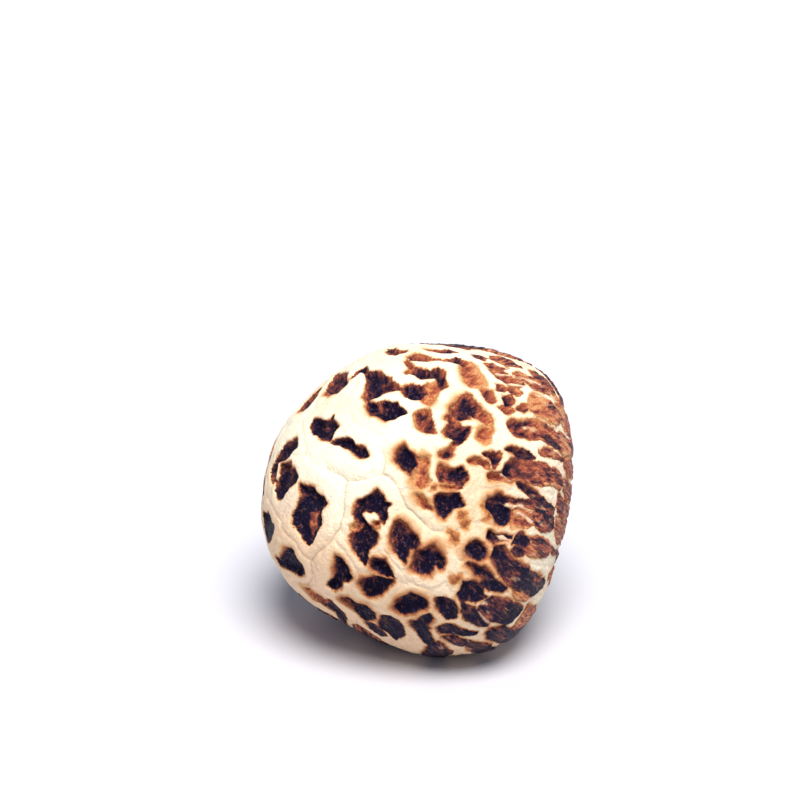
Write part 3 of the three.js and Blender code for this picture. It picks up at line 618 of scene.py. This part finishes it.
class Flat:
    """A plane that touches the cap at the middle of some directions, in millimetres."""

    def __init__(self, corners):
        self.middle = unit(corners.sum(0))
        self.down, self.around = tangents(self.middle)
        self.reach = math.acos(min(1, (corners @ self.middle).min())) + FAR / CAP_RADIUS

    def near(self, directions):
        return np.flatnonzero(directions @ self.middle > math.cos(self.reach))

    def project(self, directions):
        depth = directions @ self.middle
        return np.stack([directions @ self.down, directions @ self.around], 1) / depth[:, None] * CAP_RADIUS


def patch_fields(directions, patches):
    """Distances to the nearest patch (negative inside it) and to the next, and tone and stain width."""
    edge = np.full(len(directions), FAR)
    second = np.full(len(directions), FAR)
    total = np.full(len(directions), 1e-6)
    tone = 0.3 * total
    stain = 0.3 * total
    for patch_tone, patch_stain, corners in patches:
        flat = Flat(corners)
        near = flat.near(directions)
        points = flat.project(directions[near])
        outline = flat.project(corners)
        distance = outline_distance(points, outline)
        closer = distance < edge[near]
        second[near] = np.where(closer, edge[near], np.minimum(second[near], distance))
        edge[near] = np.where(closer, distance, edge[near])

        # A patch is lighter, and its stain wider, towards the crown
        crownward = smooth(1.5, -1.5, points[:, 0])
        pull = np.exp(-np.clip(distance, -DEEPEST, FAR) / BLEND)
        total[near] += pull
        tone[near] += pull * (patch_tone + 0.45 * min(1, patch_stain) * (crownward - 0.35))
        stain[near] += pull * patch_stain * (0.5 + 0.8 * crownward)
    return edge, second, tone / total, stain / total


def spot_tone(directions, tone):
    """The tone after the drawn spots have pulled at it."""
    for spot, pixels in DRAWN_SPOTS:
        corners = pixel_directions(pixels)
        flat = Flat(corners)
        near = flat.near(directions)
        distance = outline_distance(flat.project(directions[near]), flat.project(corners))
        tone[near] += (spot - tone[near]) * SPOT_PULL * smooth(SPOT_EDGE, -SPOT_EDGE, distance)
    return tone


def smudge_field(directions):
    """How deep in a smudge each direction is, from 0 to 1."""
    field = np.zeros(len(directions))
    for pixel, radius in SMUDGES:
        away = np.arccos(np.clip(directions @ pixel_directions(pixel)[0], -1, 1)) * CAP_RADIUS
        field = np.maximum(field, np.exp(-((away / radius) ** 2)))
    return field


def line_field(directions, lines):
    """Distance to the nearest of some lines that are drawn in pixels."""
    field = np.full(len(directions), FAR)
    for pixels in lines:
        corners = pixel_directions(pixels)
        flat = Flat(corners)
        near = flat.near(directions)
        line = flat.project(corners)
        distance = segment_distances(flat.project(directions[near]), line[:-1], line[1:])
        field[near] = np.minimum(field[near], distance)
    return field


def all_patches():
    """Tone, width of the stain and corner directions of each patch."""
    drawn = [(tone, stain, pixel_directions(pixels)) for tone, stain, pixels in DRAWN_PATCHES]
    draw = random_source(WILD_SEED + 1)
    wild = [(0.1 + 0.4 * next(draw), 0.3, corners) for corners in wild_patches([p[2] for p in drawn])]
    return drawn + wild


def rings(profile, front_turn):
    """Points on rings round the axis, closer together at the front, and the triangles between them."""
    points = [np.array([[0, 0, profile[0][1]]])]
    turns = [np.array([0.0])]
    for radius, height, step in profile[1:-1]:
        count = max(6, round(TAU * radius / step))
        turn = TAU * np.arange(count) / count
        turn = turn - 0.3 * np.sin(turn)
        turns.append(turn)
        turn = turn + front_turn
        points.append(np.stack([radius * np.cos(turn), radius * np.sin(turn), np.full(count, height)], 1))
    points.append(np.array([[0, 0, profile[-1][1]]]))
    turns.append(np.array([0.0]))
    faces = []
    start = 0
    for upper, lower in zip(turns[:-1], turns[1:]):
        below = start + len(upper)
        i = j = 0
        while i < len(upper) or j < len(lower):
            next_upper = upper[i + 1] if i + 1 < len(upper) else TAU
            next_lower = lower[j + 1] if j + 1 < len(lower) else TAU
            a, b = start + i % len(upper), below + j % len(lower)
            if j == len(lower) or (i < len(upper) and next_upper < next_lower):
                if len(upper) > 1:
                    faces.append((a, b, start + (i + 1) % len(upper)))
                i += 1
            else:
                if len(lower) > 1:
                    faces.append((a, b, below + (j + 1) % len(lower)))
                j += 1
        start = below
    return np.vstack(points), faces


def add_mesh(name, points, faces, material, values):
    """A smooth piece that stands for the solid, with named numbers or vectors at its points."""
    mesh = bpy.data.meshes.new(name)
    mesh.from_pydata((points * MM).tolist(), [], faces)
    mesh.shade_smooth()
    for key, numbers in values.items():
        numbers = numbers.astype(np.float32)
        if numbers.ndim == 2:
            mesh.attributes.new(key, "FLOAT_VECTOR", "POINT").data.foreach_set("vector", numbers.ravel())
        else:
            mesh.attributes.new(key, "FLOAT", "POINT").data.foreach_set("value", numbers)
    mesh.materials.append(material)
    piece = bpy.data.objects.new(name, mesh)
    bpy.context.scene.collection.objects.link(piece)
    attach(piece, "root")
    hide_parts("shiitake")


def cap_profile():
    """Radius, height and point spacing along the cap's section, from the crown round to the gills."""
    outer = np.linspace(0, MARGIN_ANGLE, round(CAP_RADIUS * MARGIN_ANGLE / CAP_STEP))
    radius = cap_radius(outer)
    profile = [(r * math.sin(a), r * math.cos(a), CAP_STEP) for r, a in zip(radius, outer)]
    corners = [profile[-1][:2], *LIP, (0.0, CEILING)]
    for (r0, h0), (r1, h1) in zip(corners[:-1], corners[1:]):
        count = max(1, round(math.hypot(r1 - r0, h1 - h0) / UNDER_STEP))
        for k in range(1, count + 1):
            share = k / count
            profile.append((r0 + (r1 - r0) * share, h0 + (h1 - h0) * share, UNDER_STEP))
    return profile


def skin_relief(place, plate, edge, second, seam, stain):
    """Height of pits, plates and swollen flesh over the plain cap."""
    fine = rough(place, 0.9, 31)
    streak = rough(place * [1, 1, 0.3], 0.8, 81)
    grain = noise(place, 0.45, 41)

    # Flesh swells away from the patches and dips where two swellings meet
    fold = np.exp(-(((second - np.abs(edge)) / 0.7) ** 2)) * smooth(0.5, 1.2, edge)
    flesh = FLESH_RISE * (1 - np.exp(-np.maximum(edge, 0) / 0.9)) - FOLD_DEPTH * fold
    flesh -= SEAM_DEPTH * np.exp(-((seam / 0.22) ** 2)) + SEAM_HOLLOW * np.exp(-((seam / 0.9) ** 2))
    flesh += 0.05 * fine

    # Pits slope more gently where their stain is wide, and plates have a rim
    brink = 0.25 + 0.5 * np.maximum(stain - 0.3, 0)
    pit = smooth(0, -0.5, edge) * (0.14 * fine + 0.1 * grain) - PIT_DEPTH * smooth(brink, -0.55, edge)
    rim = RIM_RISE * np.exp(-((edge + 0.2) ** 2) / 0.06)
    slab = PLATE_RISE * smooth(0.12, -0.22, edge) + rim
    slab += smooth(0, -0.4, edge) * (0.14 * streak + 0.03 * grain)
    return (1 - plate) * pit + plate * slab + flesh * smooth(-0.3, 0.3, edge)


def margin_relief(points, directions, angle, outer):
    """Wrinkles and waves that run out across the rolled margin."""
    flat = directions[:, :2]
    spokes = 30 * flat / np.maximum(np.linalg.norm(flat, axis=1), 0.1)[:, None]
    wrinkles = rough(np.column_stack([spokes, 0.4 * points[:, 2]]), 2.2, 91)
    waves = noise(np.column_stack([spokes, 0.1 * points[:, 2]]), 7, 95)
    rolled = np.where(outer, smooth(SKIN_END - 0.35, MARGIN_ANGLE, angle), 1)
    return rolled * (WRINKLE * wrinkles + WAVE * waves)


def make_cap(material):
    eye = LYING @ unit(EYE)
    points, faces = rings(cap_profile(), math.atan2(eye[1], eye[0]))
    length = np.linalg.norm(points, axis=1)
    directions = points / length[:, None]
    angle = np.arccos(directions[:, 2])
    outer = length > cap_radius(np.minimum(angle, MARGIN_ANGLE)) - 0.2
    skinned = np.where(outer, 1 - smooth(SKIN_END, MARGIN_ANGLE, angle), 0)
    place = directions * CAP_RADIUS

    # Edges wander a little, and more on the hidden part
    wander = np.stack([rough(place, 1.5, seed) for seed in (3, 13, 23)], 1)
    bend = np.stack([noise(place, 4, seed) for seed in (6, 16, 26)], 1)
    hidden = smooth(0.4, 0.15, directions @ unit(eye))[:, None]
    warped = unit(place + (0.28 + 0.12 * hidden) * wander + 0.9 * hidden * bend)
    edge, second, tone, stain = patch_fields(warped, all_patches())
    tone = spot_tone(warped, tone)
    edge -= 0.12 + 0.12 * smooth(0.9, 1.5, angle)
    seam = line_field(unit(place + 0.12 * wander), SEAMS)
    crack = line_field(unit(place + 0.2 * wander), CRACKS) + 0.2 * rough(place, 1.3, 46, 2)
    crack = np.where(edge < 0.2, crack, FAR)
    edge = np.maximum(edge, CRACK_HALF - crack)

    plate = smooth(math.radians(52), math.radians(84), angle)
    relief = skin_relief(place, plate, edge, second, seam, stain) * skinned
    relief = relief + BROAD_BUMP * rough(place, 9, 51, 2)
    relief = relief * np.where(outer, 1, 0.3) + margin_relief(points, directions, angle, outer)
    points = points + directions * relief[:, None]

    # Painted shade: the low left side, and the underside past the margin
    low_left = smooth(0.1, 0.65, directions @ LYING @ SHADED_SIDE)
    under = smooth(math.radians(92), SKIN_END, angle)
    # Yellow-tan round one point, partly painted shade
    away = np.arccos(np.clip(directions @ pixel_directions(YELLOW_SHADE_PIXEL)[0], -1, 1))
    values = {
        "upright": place,
        "edge": np.where(skinned > 0, edge + 3 * (1 - skinned), FAR),
        "tone": tone,
        "stain": stain,
        "seam": seam,
        "crack": crack,
        "smudge": smudge_field(unit(place + 0.5 * wander)),
        "side_shade": np.maximum(low_left, under),
        "yellow_and_shade": np.exp(-((away / YELLOW_SHADE_SPREAD) ** 2)),
        "plate": plate,
        "outer": outer.astype(float),
        "margin": smooth(SKIN_END - 0.12, MARGIN_ANGLE, angle),
    }
    add_mesh("cap", lay_down(points), faces, material, values)


class Nodes:
    """A node tree with short calls that return output sockets."""

    def __init__(self, tree):
        self.nodes = tree.nodes
        self.links = tree.links

    def feed(self, socket, value):
        if isinstance(value, bpy.types.NodeSocket):
            self.links.new(value, socket)
        else:
            socket.default_value = value

    def attribute(self, name, output):
        node = self.nodes.new("ShaderNodeAttribute")
        node.attribute_name = name
        return node.outputs[output]

    def value(self, name):
        return self.attribute(name, "Fac")

    def upright(self):
        return self.attribute("upright", "Vector")

    def scaled(self, vector, scale):
        node = self.nodes.new("ShaderNodeVectorMath")
        node.operation = "MULTIPLY"
        self.links.new(vector, node.inputs[0])
        node.inputs[1].default_value = scale
        return node.outputs[0]

    def noise(self, place, size, detail=2.0, roughness=0.5):
        node = self.nodes.new("ShaderNodeTexNoise")
        self.links.new(place, node.inputs["Vector"])
        node.inputs["Scale"].default_value = 1 / size
        node.inputs["Detail"].default_value = detail
        node.inputs["Roughness"].default_value = roughness
        return node.outputs["Fac"]

    def maths(self, operation, *values):
        node = self.nodes.new("ShaderNodeMath")
        node.operation = operation
        for socket, value in zip(node.inputs, values):
            self.feed(socket, value)
        return node.outputs[0]

    def plus(self, first, *others):
        for other in others:
            first = self.maths("ADD", first, other)
        return first

    def times(self, a, b):
        return self.maths("MULTIPLY", a, b)

    def remap(self, value, low, high, to_low=0.0, to_high=1.0, kind="SMOOTHSTEP"):
        node = self.nodes.new("ShaderNodeMapRange")
        node.interpolation_type = kind
        keys = ("Value", "From Min", "From Max", "To Min", "To Max")
        for key, number in zip(keys, (value, low, high, to_low, to_high)):
            self.feed(node.inputs[key], number)
        return node.outputs["Result"]

    def swing(self, noise, reach):
        """Noise spread evenly from -reach to reach."""
        return self.remap(noise, 0.3, 0.7, -reach, reach, "LINEAR")

    def ramp(self, value, stops):
        node = self.nodes.new("ShaderNodeValToRGB")
        elements = node.color_ramp.elements
        while len(elements) < len(stops):
            elements.new(1.0)
        for element, (position, colour) in zip(elements, stops):
            element.position = position
            element.color = (*colour, 1)
        self.links.new(value, node.inputs["Fac"])
        return node.outputs["Color"]

    def mix(self, share, a, b):
        node = self.nodes.new("ShaderNodeMix")
        node.data_type = "RGBA"
        self.feed(node.inputs["Factor"], share)
        for socket, colour in zip(node.inputs[6:8], (a, b)):
            self.feed(socket, (*colour, 1) if isinstance(colour, tuple) else colour)
        return node.outputs[2]


class Finish(Nodes):
    """A material's node tree."""

    def __init__(self, name):
        self.material = bpy.data.materials.new(name)
        self.material.use_nodes = True
        super().__init__(self.material.node_tree)
        self.surface = self.nodes["Principled BSDF"]

    def bump(self, height, strength):
        node = self.nodes.new("ShaderNodeBump")
        node.inputs["Strength"].default_value = strength
        node.inputs["Distance"].default_value = GRAIN_HEIGHT
        self.links.new(height, node.inputs["Height"])
        self.links.new(node.outputs[0], self.surface.inputs["Normal"])

    def set(self, **inputs):
        for key, value in inputs.items():
            self.feed(self.surface.inputs[key.replace("_", " ")], value)


class CapFinish(Finish):
    """The cap's material, with the fields and noises that several of its layers read."""

    def __init__(self):
        super().__init__("cap")
        self.place = self.upright()
        self.along = self.scaled(self.place, (1, 1, 0.3))
        self.edge = self.value("edge")
        self.tone = self.value("tone")
        self.plate = self.value("plate")
        self.jitter = self.noise(self.place, 0.5, 3.0, 0.6)
        self.streak = self.noise(self.along, 0.5, 4.0, 0.65)
        self.cloud = self.noise(self.place, 6.0, 3.0)
        self.frayed = self.plus(self.edge, self.swing(self.jitter, 0.12))

    def skin(self):
        """Black through red-brown to orange by tone, with fibres, flakes, glints and splits."""
        blotch = self.noise(self.along, 1.5, 4.0, 0.6)
        fibre = self.noise(self.scaled(self.place, (1, 1, 0.16)), 0.42, 2.0, 0.6)
        varied = self.times(self.swing(fibre, 0.3), self.remap(self.plate, 0.2, 0.9))
        blotched = self.remap(blotch, 0.32, 0.68, -0.3, 0.3, "LINEAR")
        varied = self.plus(varied, blotched, self.swing(self.streak, 0.2))
        varied = self.times(varied, self.remap(self.tone, 0.0, 0.35, 0.6, 1.0))

        # Plates are a little lighter, the middle of a pit darker, the low side darker with painted shade, and
        # edges lighter
        deep = self.remap(self.frayed, -0.1, -0.9)
        shade = self.plus(
            self.tone,
            self.remap(self.plate, 0.3, 1.0, 0.0, 0.07),
            varied,
            self.times(deep, self.remap(self.plate, 0, 1, -0.18, -0.02)),
            self.remap(self.frayed, -0.4, 0.0, 0.0, 0.14),
            self.remap(self.value("side_shade"), 0.3, 1.0, 0.0, -0.08),
        )

        dark = self.remap(shade, 0.45, 0.1)
        flakes = self.times(self.remap(self.noise(self.along, 0.7), 0.58, 0.66), dark)
        glints = self.times(self.remap(self.noise(self.place, 0.42), 0.57, 0.67), dark)
        torn = self.noise(self.scaled(self.place, (1, 1, 0.2)), 0.75, 2.0, 0.6)
        splits = self.times(self.remap(torn, 0.60, 0.66), self.remap(self.plate, 0.3, 1.0, 0.0, 0.6))
        splits = self.times(splits, self.remap(shade, 0.1, 0.45, 0.2, 1.0))
        colour = self.mix(self.times(flakes, 0.6), self.ramp(shade, SKIN_TONES), FLAKE)
        colour = self.mix(self.times(glints, 0.6), colour, GLINT)
        return self.mix(splits, colour, SPLIT)

    def flesh(self):
        """Cream, tan with painted shade on the low side, yellow-tan in the middle partly as painted shade,
        darker in its seams, stained round the skin, with smudges and dots.
        """
        # Painted shade turns the flesh tan on the low left side and under the cap
        colour = self.mix(self.value("side_shade"), FRESH_FLESH, SHADED_FLESH)
        # Yellow-tan in the middle, partly painted shade
        yellow_and_shade = self.times(self.value("yellow_and_shade"), self.remap(self.jitter, 0.25, 0.75, 0.6, 1.0))
        colour = self.mix(yellow_and_shade, colour, YELLOW_SHADE_FLESH)
        colour = self.mix(self.remap(self.cloud, 0.45, 0.75, 0.0, 0.35), colour, CLOUDED_FLESH)
        colour = self.mix(self.remap(self.value("seam"), 0.24, 0.06, 0.0, 0.65), colour, SEAM_SHADE)

        # The stain fades with the distance from the skin's edge, and is orange round orange skin
        spread = self.times(self.value("stain"), self.remap(self.cloud, 0.3, 0.7, 0.6, 1.7, "LINEAR"))
        faded = self.maths("DIVIDE", self.maths("MAXIMUM", self.frayed, 0.0), spread)
        stained = self.ramp(self.maths("EXPONENT", self.times(faded, -1.0)), STAIN_TONES)
        stained = self.mix(self.times(self.remap(self.tone, 0.45, 0.8), 0.8), stained, ORANGE_STAIN)
        colour = self.mix(self.remap(faded, 0.6, 2.4, 1.0, 0.0, "LINEAR"), colour, stained)

        smudge = self.times(self.value("smudge"), self.remap(self.streak, 0.3, 0.7, 0.55, 1.3, "LINEAR"))
        smudged = self.remap(smudge, 0.0, 0.45, 0.0, 1.0, "LINEAR")
        colour = self.mix(smudged, colour, self.ramp(smudge, SMUDGE_TONES))
        worn = self.times(self.remap(self.plate, 0.35, 1.0), self.remap(self.streak, 0.42, 0.62))
        colour = self.mix(self.times(worn, 0.25), colour, WORN_FLESH)
        dots = self.remap(self.noise(self.place, 0.28, 1.0), 0.70, 0.74)
        dots = self.times(dots, self.remap(self.edge, 2.2, 0.4))
        return self.mix(self.times(dots, 0.7), colour, DOT)

    def margined(self, colour):
        """A colour with the fringe where the skin ends, and with the lip and the flesh beyond it."""
        fringe = self.mix(self.remap(self.streak, 0.35, 0.65), *FRINGE_TONES)
        colour = self.mix(self.times(self.value("margin"), 0.85), colour, fringe)
        lip = self.mix(self.remap(self.cloud, 0.35, 0.65), *LIP_TONES)
        lip = self.mix(self.remap(self.streak, 0.40, 0.65, 0.0, 0.65), lip, LIP_STREAK)
        return self.mix(self.value("outer"), lip, colour)


def cap_material():
    s = CapFinish()
    skinned = s.remap(s.frayed, 0.08, -0.08)
    colour = s.mix(skinned, s.flesh(), s.skin())
    pale = s.plus(s.value("crack"), s.swing(s.jitter, 0.15))
    colour = s.mix(s.remap(pale, 0.32, 0.02, 0.0, 0.9), colour, CRACK_FLESH)
    speckle = s.times(s.noise(s.place, 0.35, 3.0, 0.65), s.remap(skinned, 0, 1, 0.2, 2.2))
    s.bump(s.plus(speckle, s.jitter), 0.9)
    s.set(
        Base_Color=s.margined(colour),
        Roughness=s.remap(skinned, 0, 1, 0.62, 0.45),
        Subsurface_Weight=0.1,
        Subsurface_Radius=SCATTER,
        Subsurface_Scale=1.0,
        Specular_IOR_Level=0.14,
        Specular_Tint=(0.75, 0.75, 1.0, 1),
    )
    return s.material


def mottle_group():
    """Blotches, specks and clouds of a dark colour on a light one, and the height of the grain."""
    group = bpy.data.node_groups.new("mottle", "ShaderNodeTree")
    for name, kind in (("Place", "Vector"), ("Dark", "Color"), ("Light", "Color")):
        group.interface.new_socket(name, in_out="INPUT", socket_type="NodeSocket" + kind)
    for name, kind in (("Colour", "Color"), ("Height", "Float")):
        group.interface.new_socket(name, in_out="OUTPUT", socket_type="NodeSocket" + kind)
    n = Nodes(group)
    given = n.nodes.new("NodeGroupInput").outputs
    made = n.nodes.new("NodeGroupOutput").inputs
    blotch = n.noise(given["Place"], 1.0, 4.0, 0.6)
    fine = n.noise(given["Place"], 0.25, 3.0, 0.6)
    cloud = n.noise(given["Place"], 4.0)
    colour = n.mix(n.remap(blotch, 0.3, 0.7), given["Dark"], given["Light"])
    colour = n.mix(n.remap(fine, 0.45, 0.75, 0.0, 0.6), colour, given["Dark"])
    colour = n.mix(n.remap(cloud, 0.4, 0.7, 0.0, 0.4), colour, given["Dark"])
    n.feed(made["Colour"], colour)
    n.feed(made["Height"], n.plus(blotch, fine))
    return group


def fibrous_material(name, group, tones, size, stretch):
    """Mottled between two tones, with blotches of a size, stretched along each axis, and painted shade in
    recesses.
    """
    dark, light = tones
    s = Finish(name)
    mottle = s.nodes.new("ShaderNodeGroup")
    mottle.node_tree = group
    s.feed(mottle.inputs["Place"], s.scaled(s.upright(), [k / size for k in stretch]))
    s.feed(mottle.inputs["Dark"], (*dark, 1))
    s.feed(mottle.inputs["Light"], (*light, 1))
    # Painted shade darkens the recesses
    colour = s.mix(s.value("recess_shade"), mottle.outputs["Colour"], tuple(0.35 * part for part in dark))
    s.bump(mottle.outputs["Height"], 0.7)
    s.set(Base_Color=colour, Roughness=0.75)
    return s.material


def gill_points(turn, start, depth, phase):
    """One wavy blade from its start to inside the margin: three rows down each of its two sides."""
    across = np.linspace(0, 1, GILL_STEPS)
    radius = start + (GILL_REACH - start) * across
    top = GILL_TOP - GILL_DROP * across
    lower = top - depth * np.interp(across, [0, 0.12, 0.4, 0.75, 1], [0.6, 0.85, 1.0, 1.02, 0.8])
    lower += 0.18 * np.sin(across * 31 + phase * 5)
    bend = 0.25 * np.sin(across * 5 + phase * 3) + 0.1 * np.sin(across * 17 + phase)
    points = []
    for side in (-1, 1):
        for share in (0, 0.5, 1):
            height = top + (lower - top) * share
            sway = bend * share + side * GILL_HALF * (1 - 0.5 * share)
            x = radius * np.cos(turn) - sway * np.sin(turn)
            y = radius * np.sin(turn) + sway * np.cos(turn)
            points.append(np.stack([x, y, height], 1))
    return np.vstack(points)


def make_gills(material):
    blade = []
    rows = [0, 1, 2, 5, 4, 3]
    for row, other in zip(rows, rows[1:] + rows[:1]):
        for i in range(GILL_STEPS - 1):
            a, b = row * GILL_STEPS + i, other * GILL_STEPS + i
            blade.append((a, a + 1, b + 1, b))
    blade.append(tuple(row * GILL_STEPS for row in rows))
    blade.append(tuple(row * GILL_STEPS + GILL_STEPS - 1 for row in reversed(rows)))
    draw = random_source(29)
    points, faces = [], []
    for k in range(GILL_COUNT):
        turn = (k + 0.3 * next(draw)) * TAU / GILL_COUNT
        start, depth = LONG_GILL if k % 2 == 0 else SHORT_GILL
        if k % 2:
            start += SHORT_SPREAD * next(draw)
        depth *= 0.93 + 0.14 * next(draw)
        shift = k * len(rows) * GILL_STEPS
        points.append(gill_points(turn, start, depth, 9 * next(draw)))
        faces += [tuple(i + shift for i in face) for face in blade]
    points = np.vstack(points)
    # Painted shade on the blades, darkest next to the flesh
    recess_shade = np.tile(np.repeat(GILL_SHADE, GILL_STEPS), 2 * GILL_COUNT)
    add_mesh("gills", lay_down(points), faces, material, {"upright": points, "recess_shade": recess_shade})


def make_stem(material):
    turn = TAU * np.arange(STEM_SIDES) / STEM_SIDES
    turn, share = (grid.ravel() for grid in np.meshgrid(turn, np.linspace(0, 1, STEM_RINGS)))
    height = STEM_TOP + (STEM_END - STEM_TOP) * share
    radius = STEM_RADIUS + STEM_FLARE * (1 - share) ** 3 + 0.5 * share**2
    radius *= 1 - 0.24 * smooth(0.90, 1.0, share) ** 2

    # Ridges and lumps, then fibres and furrows that run along it, and wear at its lower end
    round_stem = np.stack([5 * np.cos(turn), 5 * np.sin(turn), height], 1)
    fibres = round_stem * [1, 1, 0.12]
    radius += STEM_RIDGE_DEPTH * np.cos(STEM_RIDGES * turn + 2 * share)
    radius += 0.6 * noise(round_stem * [1, 1, 0.5], 5, 65)
    radius += 0.6 * rough(fibres, 2.2, 61) + 0.12 * rough(round_stem, 0.8, 71)
    wandering = fibres + 0.3 * rough(round_stem, 3, 68)[:, None]
    furrow = smooth(0.16, 0.0, np.abs(rough(wandering, 2.6, 67, 2)))
    radius -= FURROW_DEPTH * furrow
    radius -= STEM_WEAR * smooth(0.55, 1.0, share) * (0.5 + 0.5 * np.cos(2 * turn + 1))

    middle = STEM_BEND * share**2
    sway = STEM_SWAY * np.sin(1.6 * math.pi * share)
    points = np.stack([middle + radius * np.cos(turn), sway + radius * np.sin(turn), height], 1)
    end = len(points)
    points = np.vstack([points, [[0, 0, STEM_TOP], [STEM_BEND, 0, STEM_END]]])
    # Painted shade in the furrows and round the cut end
    recess_shade = np.append(np.maximum(0.6 * furrow, 0.45 * smooth(0.90, 0.99, share)), [0, 0.3])
    faces = []
    last = (STEM_RINGS - 1) * STEM_SIDES
    for side in range(STEM_SIDES):
        beside = (side + 1) % STEM_SIDES
        for ring in range(0, last, STEM_SIDES):
            a, b = ring + side, ring + beside
            faces.append((a, a + STEM_SIDES, b + STEM_SIDES, b))
        faces.append((end, side, beside))
        faces.append((end + 1, last + beside, last + side))
    add_mesh("stem", lay_down(points), faces, material, {"upright": points, "recess_shade": recess_shade})


def make_floor():
    s = Finish("floor")
    s.set(Base_Color=(*FLOOR_COLOUR, 1), Roughness=0.8)
    mesh = bpy.data.meshes.new("floor")
    side = 3.0
    corners = [(-side, -side, 0), (side, -side, 0), (side, side, 0), (-side, side, 0)]
    mesh.from_pydata(corners, [], [(0, 1, 2, 3)])
    mesh.materials.append(s.material)
    floor = bpy.data.objects.new("floor", mesh)
    floor.location.z = -0.0001
    bpy.context.scene.collection.objects.link(floor)


def add_sun():
    light = bpy.data.lights.new("key", "SUN")
    light.energy = SUN_STRENGTH
    light.angle = SUN_SPREAD
    light.color = SUN_COLOUR
    lamp = bpy.data.objects.new("key", light)
    lamp.rotation_euler = (TAU / 4 - SUN_LIFT, 0, SUN_TURN)
    bpy.context.scene.collection.objects.link(lamp)


def add_sky():
    """Soft light from all round, behind a white backdrop that only the camera sees."""
    world = bpy.data.worlds.new("world")
    bpy.context.scene.world = world
    world.use_nodes = True
    nodes = world.node_tree.nodes
    links = world.node_tree.links
    light = nodes["Background"]
    light.inputs["Color"].default_value = (*SKY_COLOUR, 1)
    light.inputs["Strength"].default_value = SKY_STRENGTH
    backdrop = nodes.new("ShaderNodeBackground")
    backdrop.inputs["Color"].default_value = (1, 1, 1, 1)
    seen = nodes.new("ShaderNodeLightPath")
    either = nodes.new("ShaderNodeMixShader")
    links.new(seen.outputs["Is Camera Ray"], either.inputs[0])
    links.new(light.outputs[0], either.inputs[1])
    links.new(backdrop.outputs[0], either.inputs[2])
    links.new(either.outputs[0], nodes["World Output"].inputs["Surface"])


def set_up_view():
    scene = bpy.context.scene
    camera = bpy.data.cameras.new("camera")
    camera.sensor_width = SENSOR
    camera.lens = SENSOR * VIEW_DISTANCE / PIXEL / PICTURE
    camera.clip_start = 0.01
    rig = bpy.data.objects.new("camera", camera)
    rig.location = (CAP_CENTRE + EYE) * MM
    rig.rotation_euler = (TAU / 4 - VIEW_LIFT, 0, 0)
    scene.collection.objects.link(rig)
    scene.camera = rig
    scene.view_settings.view_transform = "Standard"


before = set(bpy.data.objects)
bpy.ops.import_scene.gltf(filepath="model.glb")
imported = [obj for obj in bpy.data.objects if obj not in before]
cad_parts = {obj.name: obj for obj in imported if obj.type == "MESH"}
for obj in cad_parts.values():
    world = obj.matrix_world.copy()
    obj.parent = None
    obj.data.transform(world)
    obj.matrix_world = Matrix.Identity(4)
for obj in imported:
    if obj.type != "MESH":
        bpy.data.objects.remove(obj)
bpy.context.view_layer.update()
mottle = mottle_group()
make_cap(cap_material())
make_gills(fibrous_material("gills", mottle, GILL_TONES, 1.5, (1, 1, 1)))
make_stem(fibrous_material("stem", mottle, STEM_TONES, 1.1, (1, 1, 0.12)))
make_floor()
set_up_view()
add_sky()
add_sun()
